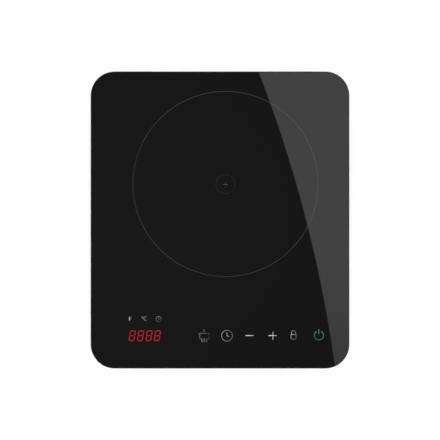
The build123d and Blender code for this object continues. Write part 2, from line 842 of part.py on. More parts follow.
with BuildPart() as transformer_winding:
    with Locations(transformer_place):
        with Locations((0, 0, 3)):
            Box(16, 18, 11, align=(Align.CENTER, Align.CENTER, Align.MIN))
    fillet(transformer_winding.edges().filter_by(Axis.Z), 3.0)
    with Locations(transformer_place):
        with Locations((0, 0, 3)):
            Box(7.1, 6.1, 11, align=(Align.CENTER, Align.CENTER, Align.MIN), mode=Mode.SUBTRACT)
    add(transformer_core.part, mode=Mode.SUBTRACT)
finish(transformer_winding, "transformer_winding")

with BuildPart() as electrolytic_capacitors:
    for can_place, can_radius, can_height in (
        (on_board(12, -14), 5.0, 17.0),
        (on_board(12, -28), 4.0, 12.0),
    ):
        with BuildSketch(Plane(origin=can_place)):
            Circle(can_radius)
        extrude(amount=can_height)
    fillet(electrolytic_capacitors.edges().filter_by(GeomType.CIRCLE), 0.6)
finish(electrolytic_capacitors, "electrolytic_capacitors")

fuse_place = on_board(-36, -44)
fuse_height = 4.5
fuse_length = 20.0
with BuildPart() as mains_fuse:
    with Locations((fuse_place[0], fuse_place[1], z_board + fuse_height)):
        Cylinder(2.3, fuse_length, rotation=(0, 90, 0))
        with Locations((-fuse_length / 2 + 2.5, 0, 0), (fuse_length / 2 - 2.5, 0, 0)):
            Cylinder(2.6, 5.0, rotation=(0, 90, 0))
finish(mains_fuse, "mains_fuse")

with BuildPart() as fuse_clips:
    with Locations(fuse_place):
        with GridLocations(fuse_length - 5, 1, 2, 1):
            Box(4.0, 7.0, fuse_height + 1.5, align=(Align.CENTER, Align.CENTER, Align.MIN))
    with Locations((fuse_place[0], fuse_place[1], z_board + fuse_height)):
        Cylinder(2.6, fuse_length + 2, rotation=(0, 90, 0), mode=Mode.SUBTRACT)
finish(fuse_clips, "fuse_clips")

with BuildPart() as varistor:
    with Locations((board_x - 36, board_y - 58, z_board + 8.5)):
        Cylinder(6.0, 4.0, rotation=(0, 90, 0))
        with Locations((0, -2.5, -3), (0, 2.5, -3)):
            Cylinder(0.5, 5.5, align=(Align.CENTER, Align.CENTER, Align.MAX))
    fillet(varistor.edges().filter_by(GeomType.CIRCLE).sort_by(SortBy.RADIUS)[-2:], 1.0)
finish(varistor, "varistor")

terminal_height = 8.0
terminal_places = [on_board(-42, -8), on_board(-42, -21)]
with BuildPart() as coil_terminals:
    for place in terminal_places:
        with BuildSketch(Plane(origin=place)):
            RegularPolygon(4.0, 6)
        extrude(amount=terminal_height)
finish(coil_terminals, "coil_terminals")

with BuildPart() as mains_terminal_block:
    with Locations(on_board(26, -69)):
        Box(20, 9, 12, align=(Align.CENTER, Align.CENTER, Align.MIN))
        with Locations((-5, 0, 12), (5, 0, 12)):
            Cylinder(2.4, 4.0, align=(Align.CENTER, Align.CENTER, Align.MAX), mode=Mode.SUBTRACT)
        with Locations((-5, -4.5, 4), (5, -4.5, 4)):
            Box(6, 6, 4, mode=Mode.SUBTRACT)
finish(mains_terminal_block, "mains_terminal_block")

fan_socket = on_board(-45, 7)
sensor_socket = on_board(-20, 2)
small_socket_height = 7.0
with BuildPart() as board_sockets:
    with Locations(fan_socket, sensor_socket):
        Box(6, 5, small_socket_height, align=(Align.CENTER, Align.CENTER, Align.MIN))
    with Locations((socket_x, main_socket_y, z_board)):
        Box(18, 6, main_socket_height, align=(Align.CENTER, Align.CENTER, Align.MIN))
    with Locations((socket_x, control_socket_y, z_control - board_thickness)):
        Box(18, 6, socket_height, align=(Align.CENTER, Align.CENTER, Align.MAX))
finish(board_sockets, "board_sockets")

with BuildPart() as driver_chip:
    with Locations(on_board(-16, -24)):
        with Locations((0, 0, 0.4)):
            Box(20, 6.6, 3.2, align=(Align.CENTER, Align.CENTER, Align.MIN))
        with GridLocations(2.54, 8.2, 8, 2):
            Box(1.0, 1.2, 2.0, align=(Align.CENTER, Align.CENTER, Align.MIN))
        with Locations((-10, 0, 3.6)):
            Cylinder(1.2, 0.6, align=(Align.CENTER, Align.CENTER, Align.MAX), mode=Mode.SUBTRACT)
finish(driver_chip, "driver_chip")

with BuildPart() as buzzer:
    with Locations(on_board(-32, -29)):
        Cylinder(6.0, 9.0, align=(Align.CENTER, Align.CENTER, Align.MIN))
        with Locations((0, 0, 9)):
            Cylinder(1.0, 3.0, align=(Align.CENTER, Align.CENTER, Align.MAX), mode=Mode.SUBTRACT)
finish(buzzer, "buzzer")

# ================================================================ leads inside the housing
terminal_top = z_board + terminal_height
outer_x = coil_x - coil_end
inner_x = coil_x + coil_inner
outer_turn_y = coil_y - outer_drop
inner_turn_y = coil_y - inner_drop
outer_lead = lead(
    [
        (outer_x, coil_y, z_wire),
        (outer_x, outer_turn_y, z_wire),
        (outer_x, outer_turn_y, coil_lead_height),
        (terminal_places[1][0], terminal_places[1][1], coil_lead_height),
        (terminal_places[1][0], terminal_places[1][1], terminal_top),
    ],
    wire_radius,
    [lead_bend, lead_bend, lead_bend],
)
inner_lead = lead(
    [
        (inner_x, coil_y, z_wire),
        (inner_x, inner_turn_y, z_wire),
        (inner_x, inner_turn_y, coil_lead_height),
        (coil_x + 14, outer_turn_y, coil_lead_height),
        (terminal_places[0][0], terminal_places[0][1], coil_lead_height),
        (terminal_places[0][0], terminal_places[0][1], terminal_top),
    ],
    wire_radius,
    [inner_drop - 0.2, 5.0, lead_bend, lead_bend],
)
with BuildPart() as coil_leads:
    add(outer_lead)
    add(inner_lead)
finish(coil_leads, "coil_leads")

sensor_wire = lead(
    [
        (coil_x, coil_y, z_bead),
        (coil_x, coil_y, z_bead - 18),
        (sensor_socket[0], sensor_socket[1], z_board + 15),
        (sensor_socket[0], sensor_socket[1], z_board + small_socket_height),
    ],
    sensor_lead_radius,
    [3.0, 3.0],
)
with BuildPart() as sensor_lead:
    add(sensor_wire)
finish(sensor_lead, "sensor_lead")

fan_right = fan_x + fan_size / 2
fan_wire = lead(
    [
        (fan_right, fan_socket[1] + 12, z_fan + 8),
        (fan_right + 8, fan_socket[1] + 12, z_fan + 8),
        (fan_socket[0] - 4, fan_socket[1] + 1, z_board + 13),
        (fan_socket[0], fan_socket[1], z_board + 15),
        (fan_socket[0], fan_socket[1], z_board + small_socket_height),
    ],
    1.1,
    [4.0, 1.8, 1.8],
)
with BuildPart() as fan_lead:
    add(fan_wire)
finish(fan_lead, "fan_lead")

ribbon_width = 15.0
ribbon_thickness = 1.0
ribbon_top = z_control - board_thickness - socket_height
ribbon_low = (ribbon_top + z_board + main_socket_height) / 2
with BuildPart() as ribbon_cable:
    with BuildSketch(Plane.YZ.offset(socket_x - ribbon_width / 2)):
        with BuildLine():
            FilletPolyline(
                (control_socket_y, ribbon_top),
                (control_socket_y, ribbon_low),
                (main_socket_y, ribbon_low),
                (main_socket_y, z_board + main_socket_height),
                radius=4.0,
            )
        trace(line_width=ribbon_thickness)
    extrude(amount=ribbon_width)
finish(ribbon_cable, "ribbon_cable")

# ================================================================ cooling fan
with BuildPart() as fan_frame:
    with BuildSketch(Plane.XY.offset(z_fan)):
        with Locations((fan_x, fan_y)):
            Circle(fan_bore + 1.5)
            Circle(fan_bore, mode=Mode.SUBTRACT)
    extrude(amount=fan_height)
    for z_flange in (z_fan, z_fan + fan_height - fan_flange):
        with BuildSketch(Plane.XY.offset(z_flange)):
            with Locations((fan_x, fan_y)):
                RectangleRounded(fan_size, fan_size, 4.0)
                Circle(fan_bore, mode=Mode.SUBTRACT)
                with GridLocations(fan_screw_spacing, fan_screw_spacing, 2, 2):
                    Circle(small_screw + clearance, mode=Mode.SUBTRACT)
        extrude(amount=fan_flange)
    # Motor plate on four struts, and the tube that holds the bearing.
    with BuildSketch(Plane.XY.offset(z_fan)):
        with Locations((fan_x, fan_y)):
            Circle(fan_hub - 1.0)
            with PolarLocations(fan_bore / 2, 4, start_angle=45):
                Rectangle(fan_bore + 1.0, 3.0)
    extrude(amount=2.0)
    with BuildSketch(Plane.XY.offset(z_fan)):
        with Locations((fan_x, fan_y)):
            Circle(bearing_radius + 1.2)
    extrude(amount=2.0 + bearing_length)
    with BuildSketch(Plane.XY.offset(z_fan + 2.0)):
        with Locations((fan_x, fan_y)):
            Circle(bearing_radius)
    extrude(amount=bearing_length, mode=Mode.SUBTRACT)
finish(fan_frame, "fan_frame")

with BuildPart() as fan_bearing:
    with BuildSketch(Plane.XY.offset(z_fan + 2.0)):
        with Locations((fan_x, fan_y)):
            Circle(bearing_radius)
            Circle(fan_shaft + fan_running_gap, mode=Mode.SUBTRACT)
    extrude(amount=bearing_length)
finish(fan_bearing, "fan_bearing")

magnet_inner = fan_hub - fan_cup_wall - magnet_thickness
stator_outer = magnet_inner - air_gap
with BuildPart() as fan_stator:
    with BuildSketch(Plane.XY.offset(z_fan + 4.0)):
        with Locations((fan_x, fan_y)):
            Circle(bearing_radius + 3.4)
            with PolarLocations(stator_outer / 2, 4):
                Rectangle(stator_outer - 2, 3.2)
            with PolarLocations(stator_outer - 1.3, 4):
                Rectangle(1.6, 7.0)
            Circle(bearing_radius + 1.2, mode=Mode.SUBTRACT)
    extrude(amount=6.5)
finish(fan_stator, "fan_stator")

z_cup = z_fan + fan_height - 2.5
z_skirt = z_fan + 3.5
z_blade = (z_cup + z_skirt) / 2

# One blade reaches along +X as a twisted slab, steeper at the hub than at the tip.
with BuildPart() as fan_blade:
    for reach, steepness in ((fan_hub - 2.8, 44.0), (fan_blade_reach, 26.0)):
        chord_direction = (0, cos(radians(steepness)), sin(radians(steepness)))
        with BuildSketch(Plane(origin=(reach, 0, 0), x_dir=chord_direction, z_dir=(1, 0, 0))):
            Rectangle(fan_blade_chord, fan_blade_thickness)
    loft()

with BuildPart() as fan_impeller:
    with BuildSketch(Plane.XY.offset(z_skirt)):
        with Locations((fan_x, fan_y)):
            Circle(fan_hub)
    extrude(amount=z_cup - z_skirt)
    fillet(fan_impeller.edges().sort_by(Axis.Z)[-1], 1.0)
    with Locations((fan_x, fan_y, z_blade)):
        with PolarLocations(0, fan_blade_count):
            add(fan_blade.part)
    with BuildSketch(Plane.XY.offset(z_skirt)):
        with Locations((fan_x, fan_y)):
            Circle(fan_hub - fan_cup_wall)
    extrude(amount=z_cup - z_skirt - fan_cup_wall, mode=Mode.SUBTRACT)
    with BuildSketch(Plane.XY.offset(z_skirt)):
        with Locations((fan_x, fan_y)):
            Circle(fan_shaft)
    extrude(amount=z_cup - z_skirt - 0.5, mode=Mode.SUBTRACT)
finish(fan_impeller, "fan_impeller")

with BuildPart() as fan_magnet:
    with BuildSketch(Plane.XY.offset(z_skirt + 0.5)):
        with Locations((fan_x, fan_y)):
            Circle(fan_hub - fan_cup_wall)
            Circle(magnet_inner, mode=Mode.SUBTRACT)
    extrude(amount=9.0)
finish(fan_magnet, "fan_magnet")

with BuildPart() as fan_spindle:
    with BuildSketch(Plane.XY.offset(z_fan + 2.3)):
        with Locations((fan_x, fan_y)):
            Circle(fan_shaft)
    extrude(amount=z_cup - 0.5 - z_fan - 2.3)
finish(fan_spindle, "fan_spindle")

fan_screw = screw(small_head, small_head_height, small_screw, fan_flange + 2.5)
with BuildPart() as fan_screws:
    with Locations((fan_x, fan_y, z_fan + fan_flange)):
        with GridLocations(fan_screw_spacing, fan_screw_spacing, 2, 2):
            add(fan_screw, rotation=(180, 0, 0))
finish(fan_screws, "fan_screws")

# ================================================================ control board
with BuildPart() as control_board:
    with BuildSketch(Plane.XY.offset(z_control)):
        with Locations((control_x, control_y)):
            RectangleRounded(control_width, control_depth, 2.0)
        with Locations(*control_holes):
            Circle(small_screw + clearance, mode=Mode.SUBTRACT)
    extrude(amount=-board_thickness)
finish(control_board, "control_board")

control_board_screw = screw(small_head, small_head_height, small_screw, 5.5)
with BuildPart() as control_board_screws:
    with Locations(*[(x, y, z_control - board_thickness) for x, y in control_holes]):
        add(control_board_screw)
finish(control_board_screws, "control_board_screws")

spring_height = control_drop - 2 * spring_wire - 0.2
with BuildPart() as touch_spring:
    with BuildLine() as coil_line:
        Helix(spring_height / spring_turns, spring_height, spring_radius)
    with BuildSketch(Plane(origin=coil_line.line @ 0, z_dir=coil_line.line % 0)):
        Circle(spring_wire)
    sweep(is_frenet=True)
with BuildPart() as touch_springs:
    with Locations(*[(x, key_row, z_control + spring_wire + 0.1) for x in key_places]):
        add(touch_spring.part)
finish(touch_springs, "touch_springs")

with BuildPart() as key_leds:
    with Locations(*[(x, key_row, z_control) for x in key_places]):
        Box(2.0, 1.6, 0.9, align=(Align.CENTER, Align.CENTER, Align.MIN))
finish(key_leds, "key_leds")


def segment_bars():
    """Outlines of one digit's seven bars, leaning, about the digit's middle."""
    across = digit_width - digit_stroke
    up = (digit_height - digit_stroke) / 2
    trim = 0.25
    tip = digit_stroke / 2
    lean = tan(radians(digit_slant))
    bars = []
    for y in (-up, 0, up):
        reach = across / 2 - trim
        bars.append([(-reach, y), (-reach + tip, y + tip), (reach - tip, y + tip)])
        bars[-1] += [(reach, y), (reach - tip, y - tip), (-reach + tip, y - tip)]
    for x in (-across / 2, across / 2):
        for y in (-up / 2, up / 2):
            reach = up / 2 - trim
            bars.append([(x, y - reach), (x + tip, y - reach + tip), (x + tip, y + reach - tip)])
            bars[-1] += [(x, y + reach), (x - tip, y + reach - tip), (x - tip, y - reach + tip)]
    return [[(x + y * lean, y) for x, y in bar] for bar in bars]


z_display = z_glass - display_gap
digit_places = [
    (display_middle + (k - (digit_count - 1) / 2) * digit_pitch, key_row)
    for k in range(digit_count)
]
with BuildPart() as display_segments:
    with BuildSketch(Plane.XY.offset(z_display - segment_depth)):
        for bar in segment_bars():
            with Locations(*digit_places):
                Polygon(*bar, align=None)
    extrude(amount=segment_depth)
finish(display_segments, "display_segments")

with BuildPart() as digit_display:
    with BuildSketch(Plane.XY.offset(z_control)):
        with Locations((display_middle, key_row)):
            Rectangle(display_width, display_depth)
    extrude(amount=z_display - z_control)
    add(display_segments.part, mode=Mode.SUBTRACT)
finish(digit_display, "digit_display")

indicator_y = key_row + indicator_row
with BuildPart() as indicator_mask:
    with BuildSketch(Plane.XY.offset(z_control)):
        with Locations((display_middle, indicator_y)):
            Rectangle(display_width, mask_depth)
        with Locations(*[(x, indicator_y) for x in indicator_places]):
            Rectangle(8.0, 5.0, mode=Mode.SUBTRACT)
    extrude(amount=z_display - z_control)
finish(indicator_mask, "indicator_mask")

with BuildPart() as indicator_leds:
    with Locations(*[(x, indicator_y, z_control) for x in indicator_places]):
        Box(3.0, 1.5, 1.2, align=(Align.CENTER, Align.CENTER, Align.MIN))
finish(indicator_leds, "indicator_leds")

with BuildPart() as touch_chip:
    with Locations((control_x + 50, control_y + 4, z_control - board_thickness)):
        Box(10.0, 7.5, 1.6, align=(Align.CENTER, Align.CENTER, Align.MAX))
finish(touch_chip, "touch_chip")

print(len(made), "nodes, overall height", z_top)
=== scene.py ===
import math

import bmesh
import bpy
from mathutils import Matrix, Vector


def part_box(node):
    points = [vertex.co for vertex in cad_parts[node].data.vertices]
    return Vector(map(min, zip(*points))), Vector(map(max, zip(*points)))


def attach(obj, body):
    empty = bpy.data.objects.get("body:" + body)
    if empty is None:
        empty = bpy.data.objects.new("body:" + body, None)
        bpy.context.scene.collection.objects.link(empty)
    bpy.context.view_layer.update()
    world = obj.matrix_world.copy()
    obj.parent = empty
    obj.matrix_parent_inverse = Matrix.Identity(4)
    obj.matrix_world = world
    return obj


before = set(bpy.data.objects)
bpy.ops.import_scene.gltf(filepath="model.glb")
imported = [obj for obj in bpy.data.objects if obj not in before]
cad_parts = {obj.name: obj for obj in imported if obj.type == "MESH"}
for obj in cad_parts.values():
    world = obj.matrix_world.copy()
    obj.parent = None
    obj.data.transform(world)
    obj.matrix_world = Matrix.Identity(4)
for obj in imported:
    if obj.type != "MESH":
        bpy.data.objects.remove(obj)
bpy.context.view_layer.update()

# A portable induction cooktop: black glass-ceramic plate, grey print, lit legends and red digits.
mm = 0.001

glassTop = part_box("glass_top")[1].z
coilLow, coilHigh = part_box("coil_former")
zoneCentre = (coilLow + coilHigh) / 2
print("frame loaded, top of the glass at", round(glassTop / mm, 1), "mm")


def placesAlongX(node, gap=4 * mm):
    # centres of a node's separate solids, from left to right
    points = sorted((v.co.copy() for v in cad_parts[node].data.vertices), key=lambda p: p.x)
    groups = [[points[0]]]
    for before, here in zip(points, points[1:]):
        if here.x - before.x > gap:
            groups.append([])
        groups[-1].append(here)
    return [Vector([(min(p[k] for p in g) + max(p[k] for p in g)) / 2 for k in range(3)]) for g in groups]


potKey, timerKey, minusKey, plusKey, lockKey, powerKey = placesAlongX("key_leds")
levelLamp, heatLamp, clockLamp = placesAlongX("indicator_leds")
digitLow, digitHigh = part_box("display_segments")


def linear(hexText):
    # an sRGB hex colour as linear RGBA
    values = [int(hexText[k:k + 2], 16) / 255 for k in (1, 3, 5)]
    return [v / 12.92 if v <= 0.04045 else ((v + 0.055) / 1.055) ** 2.4 for v in values] + [1.0]


def addNode(tree, kind, settings=None, links=None):
    # a node with its own values and settings, and with the outputs that feed it
    node = tree.nodes.new(kind)
    for name, value in (settings or {}).items():
        if isinstance(name, int) or name in node.inputs:
            node.inputs[name].default_value = value
        else:
            setattr(node, name, value)
    for name, source in (links or {}).items():
        tree.links.new(source, node.inputs[name])
    return node


def startMaterial(name):
    material = bpy.data.materials.new(name)
    material.use_nodes = True
    tree = material.node_tree
    tree.nodes.clear()
    place = addNode(tree, "ShaderNodeTexCoord").outputs["Object"]
    return material, tree, place


def endMaterial(tree, settings, links):
    shader = addNode(tree, "ShaderNodeBsdfPrincipled", settings, links)
    addNode(tree, "ShaderNodeOutputMaterial", links={"Surface": shader.outputs["BSDF"]})


def grainNoise(tree, place, grain, detail=2.0):
    # noise whose patches are about one grain across
    node = addNode(tree, "ShaderNodeTexNoise", {"Scale": 1 / grain, "Detail": detail}, {"Vector": place})
    return node.outputs["Fac"]


toneStops = (0.35, 0.65)  # where a wandering colour has reached its dark and its light tone


def mottled(tree, place, grain, dark, light, detail=3.0):
    # colour that wanders between two tones over a grain size, with the noise that drives it
    fac = grainNoise(tree, place, grain, detail)
    ramp = addNode(tree, "ShaderNodeValToRGB", links={"Fac": fac})
    for stop, position, tone in zip(ramp.color_ramp.elements, toneStops, (dark, light)):
        stop.position = position
        stop.color = linear(tone)
    return ramp.outputs["Color"], fac


def spread(tree, value, low, high):
    # a 0 to 1 pattern as a roughness between two limits
    node = addNode(tree, "ShaderNodeMapRange", {"To Min": low, "To Max": high}, {"Value": value})
    return node.outputs["Result"]


def relief(tree, height, depth, strength=1.0, under=None):
    # fine relief that only the light shows, laid over a broader one where it is given
    links = {"Height": height}
    if under is not None:
        links["Normal"] = under
    node = addNode(tree, "ShaderNodeBump", {"Distance": depth, "Strength": strength}, links)
    return node.outputs["Normal"]


def plainFinish(name, dark, light, grain, rough, depth=0.02 * mm, metallic=0.0, ior=1.5):
    # a finish whose colour, gloss and fine relief all wander over a real grain size
    material, tree, place = startMaterial(name)
    colour, fac = mottled(tree, place, grain, dark, light)
    fine = grainNoise(tree, place, grain * 0.4)
    settings = {"Metallic": metallic}
    if metallic < 0.5:
        settings["IOR"] = ior
    endMaterial(
        tree,
        settings,
        {
            "Base Color": colour,
            "Roughness": spread(tree, fac, rough[0], rough[1]),
            "Normal": relief(tree, fine, depth),
        },
    )
    return material


glassLook = {
    "body": ("#101010", "#111111"),
    "bodyGrain": 0.9 * mm,
    "smudgeGrain": 45 * mm,
    "rough": (0.004, 0.02),
    "edgeRough": 0.2,
    "edgeBand": (0.12 * mm, 0.02 * mm),  # depths between which the ground edge turns into the polished top
    "glowDepth": 0.5 * mm,
    # painted glow colours that the glass emits over the digits and round the power key, standing in for the
    # light of the lamps behind
    "digitGlow": "#340000",
    "digitInset": 1 * mm,
    "digitFade": 2.6 * mm,
    "powerGlow": "#00191c",
    "powerFade": 10 * mm,
}


def nearness(tree, place, centre, half, reach):
    # 1 inside a box about a point, fading to 0 at a reach beyond it
    away = addNode(tree, "ShaderNodeVectorMath", {"operation": "SUBTRACT", 1: centre}, {0: place})
    aside = addNode(tree, "ShaderNodeVectorMath", {"operation": "ABSOLUTE"}, {0: away.outputs["Vector"]})
    beyond = addNode(
        tree, "ShaderNodeVectorMath", {"operation": "SUBTRACT", 1: half}, {0: aside.outputs["Vector"]}
    )
    outside = addNode(
        tree, "ShaderNodeVectorMath", {"operation": "MAXIMUM", 1: (0, 0, 0)}, {0: beyond.outputs["Vector"]}
    )
    gap = addNode(tree, "ShaderNodeVectorMath", {"operation": "LENGTH"}, {0: outside.outputs["Vector"]})
    fade = addNode(
        tree,
        "ShaderNodeMapRange",
        {"interpolation_type": "SMOOTHSTEP", "From Min": reach, "From Max": 0.0},
        {"Value": gap.outputs["Value"]},
    )
    return fade.outputs["Result"]


def blend(tree, factor, first, second):
    # first and second are each a hex colour or a node output
    settings = {"data_type": "RGBA"}
    links = {0: factor}
    for socket, colour in ((6, first), (7, second)):
        if isinstance(colour, str):
            settings[socket] = linear(colour)
        else:
            links[socket] = colour
    return addNode(tree, "ShaderNodeMix", settings, links).outputs[2]


def polishedGlassCeramic():
    # ceramic glass, all but black: float-smooth with sharp reflections on top, its edge ground satin.
    # The back print is left off behind the digits and the power key; there the glass is painted with a
    # glow, dim red over the digits and dark teal round the power key, in place of the light of the lamps
    # behind.
    look = glassLook
    material, tree, place = startMaterial("polishedGlassCeramic")
    smudge = grainNoise(tree, place, look["smudgeGrain"], 4.0)
    body = mottled(tree, place, look["bodyGrain"], *look["body"])[0]
    middle = (digitLow + digitHigh) / 2
    half = (digitHigh - digitLow) / 2
    litBox = (half.x - look["digitInset"], half.y - look["digitInset"], look["glowDepth"])
    byDigits = nearness(tree, place, (middle.x, middle.y, glassTop), litBox, look["digitFade"])
    keyBox = (0, 0, look["glowDepth"])
    byPower = nearness(tree, place, (powerKey.x, powerKey.y, glassTop), keyBox, look["powerFade"])
    # painted glow: a dim red light painted into the glass over the digits, fading out round them
    paintedDigitGlow = blend(tree, byDigits, "#000000", look["digitGlow"])
    height = addNode(tree, "ShaderNodeSeparateXYZ", links={"Vector": place})
    polished = addNode(
        tree,
        "ShaderNodeMapRange",
        {
            "From Min": glassTop - look["edgeBand"][0],
            "From Max": glassTop - look["edgeBand"][1],
            "To Min": look["edgeRough"],
            "To Max": look["rough"][0],
        },
        {"Value": height.outputs["Z"]},
    )
    wiped = spread(tree, smudge, 0.0, look["rough"][1])
    gloss = addNode(tree, "ShaderNodeMath", {"operation": "ADD"}, {0: polished.outputs["Result"], 1: wiped})
    # the glass emits the painted glow; where it glows, its base colour is black
    endMaterial(
        tree,
        {"IOR": 1.54, "Emission Strength": 1.0},
        {
            "Base Color": blend(tree, byPower, blend(tree, byDigits, body, "#000000"), "#000000"),
            "Roughness": gloss.outputs["Value"],
            "Emission Color": blend(tree, byPower, paintedDigitGlow, look["powerGlow"]),
        },
    )
    return material


def ceramicInk(name, dark, light):
    # enamel ink fired onto the glass: as glossy as the glass, with a faint mesh of the screen
    material, tree, place = startMaterial(name)
    colour, fac = mottled(tree, place, 0.3 * mm, dark, light)
    endMaterial(tree, {"IOR": 1.7}, {"Base Color": colour, "Roughness": spread(tree, fac, 0.03, 0.08)})
    return material


def litLegend(name, near, far, lamp, reach):
    # a clear window in the black back print: brightest over the lamp behind it, dimmer away from it
    material, tree, place = startMaterial(name)
    byLamp = nearness(tree, place, lamp, (0, 0, 1 * mm), reach)
    grain = grainNoise(tree, place, 0.6 * mm)
    body = mottled(tree, place, 0.5 * mm, "#0c0c0c", "#161616")[0]
    endMaterial(
        tree,
        {"IOR": 1.54, "Emission Strength": 1.0},
        {
            "Base Color": body,
            "Emission Color": blend(tree, byLamp, far, near),
            "Roughness": spread(tree, grain, 0.02, 0.06),
        },
    )
    return material


def mouldedShell(name, tones, pebble, depth, rough):
    # PBT moulded in a spark-eroded tool: black, each pebble a little glossier on its crown than round it
    material, tree, place = startMaterial(name)
    colour = mottled(tree, place, 14 * mm, *tones)[0]
    cells = addNode(
        tree,
        "ShaderNodeTexVoronoi",
        {"feature": "SMOOTH_F1", "Scale": 1 / pebble, "Smoothness": 0.6, "Randomness": 1.0},
        {"Vector": place},
    )
    waves = relief(tree, grainNoise(tree, place, 60 * mm), 0.25 * mm, 0.25)
    endMaterial(
        tree,
        {"IOR": 1.55},
        {
            "Base Color": colour,
            "Roughness": spread(tree, cells.outputs["Distance"], *rough),
            "Normal": relief(tree, cells.outputs["Distance"], -depth, 1.0, waves),
        },
    )
    return material


def mouldedRubber(name, dark, light):
    # moulded elastomer: dull, slightly dusty, soft grain
    material, tree, place = startMaterial(name)
    colour, fac = mottled(tree, place, 4 * mm, dark, light, detail=6.0)
    grain = grainNoise(tree, place, 0.5 * mm, 3.0)
    endMaterial(
        tree,
        {"IOR": 1.5, "Sheen Weight": 0.15, "Sheen Roughness": 0.6},
        {
            "Base Color": colour,
            "Roughness": spread(tree, fac, 0.68, 0.85),
            "Normal": relief(tree, grain, 0.04 * mm, 0.5),
        },
    )
    return material


def brushedFoil():
    # aluminium foil label: fine rolling lines along its length under a thin clear laminate
    material, tree, place = startMaterial("brushedFoil")
    drawn = addNode(tree, "ShaderNodeMapping", {"Scale": (0.03, 1, 1)}, {"Vector": place})
    lines = grainNoise(tree, drawn.outputs["Vector"], 0.5 * mm, 5.0)
    endMaterial(
        tree,
        {"Metallic": 1.0, "Coat Weight": 0.3, "Coat Roughness": 0.1},
        {
            "Base Color": blend(tree, lines, "#a3a5a8", "#c2c4c6"),
            "Roughness": spread(tree, lines, 0.3, 0.45),
            "Normal": relief(tree, lines, 0.01 * mm, 0.3),
        },
    )
    return material


def solderMask(name, dark, light):
    # epoxy-glass board under green solder mask: copper tracks show as lighter, slightly raised paths
    material, tree, place = startMaterial(name)
    cells = addNode(
        tree,
        "ShaderNodeTexVoronoi",
        {"feature": "DISTANCE_TO_EDGE", "Scale": 1 / (9 * mm)},
        {"Vector": place},
    )
    track = addNode(
        tree, "ShaderNodeMath", {"operation": "LESS_THAN", 1: 0.06}, {0: cells.outputs["Distance"]}
    )
    endMaterial(
        tree,
        {"IOR": 1.5},
        {
            "Base Color": blend(tree, track.outputs["Value"], dark, light),
            "Roughness": spread(tree, grainNoise(tree, place, 1 * mm), 0.25, 0.4),
            "Normal": relief(tree, track.outputs["Value"], 0.03 * mm),
        },
    )
    return material


def stripes(name, dark, light, pitch, direction, rough, metallic=0.0):
    # strands, fins, laminations or conductors: bands across one direction at a real pitch
    material, tree, place = startMaterial(name)
    wave = addNode(
        tree,
        "ShaderNodeTexWave",
        {
            "bands_direction": direction,
            "wave_profile": "SIN",
            "Scale": math.pi / (10 * pitch),  # this texture's own unit is ten turns of a sine
            "Distortion": 0.4,
            "Detail": 1.0,
        },
        {"Vector": place},
    )
    endMaterial(
        tree,
        {"Metallic": metallic},
        {
            "Base Color": blend(tree, wave.outputs["Fac"], dark, light),
            "Roughness": spread(tree, wave.outputs["Fac"], rough[1], rough[0]),
            "Normal": relief(tree, wave.outputs["Fac"], 0.1 * mm, 0.6),
        },
    )
    return material


def micaSheet():
    # pressed mica paper: pale flakes with a pearly lustre
    material, tree, place = startMaterial("pressedMica")
    flakes = addNode(tree, "ShaderNodeTexVoronoi", {"Scale": 1 / (3 * mm)}, {"Vector": place})
    endMaterial(
        tree,
        {"IOR": 1.58, "Metallic": 0.15},
        {
            "Base Color": blend(tree, flakes.outputs["Distance"], "#b9ab86", "#d9cfae"),
            "Roughness": spread(tree, flakes.outputs["Distance"], 0.25, 0.5),
        },
    )
    return material


def studioFloor():
    # matte white paper sweep
    material, tree, place = startMaterial("paperSweep")
    colour, fac = mottled(tree, place, 0.4, "#f1f1f1", "#f4f4f4")
    endMaterial(tree, {"IOR": 1.3}, {"Base Color": colour, "Roughness": spread(tree, fac, 0.85, 0.95)})
    return material


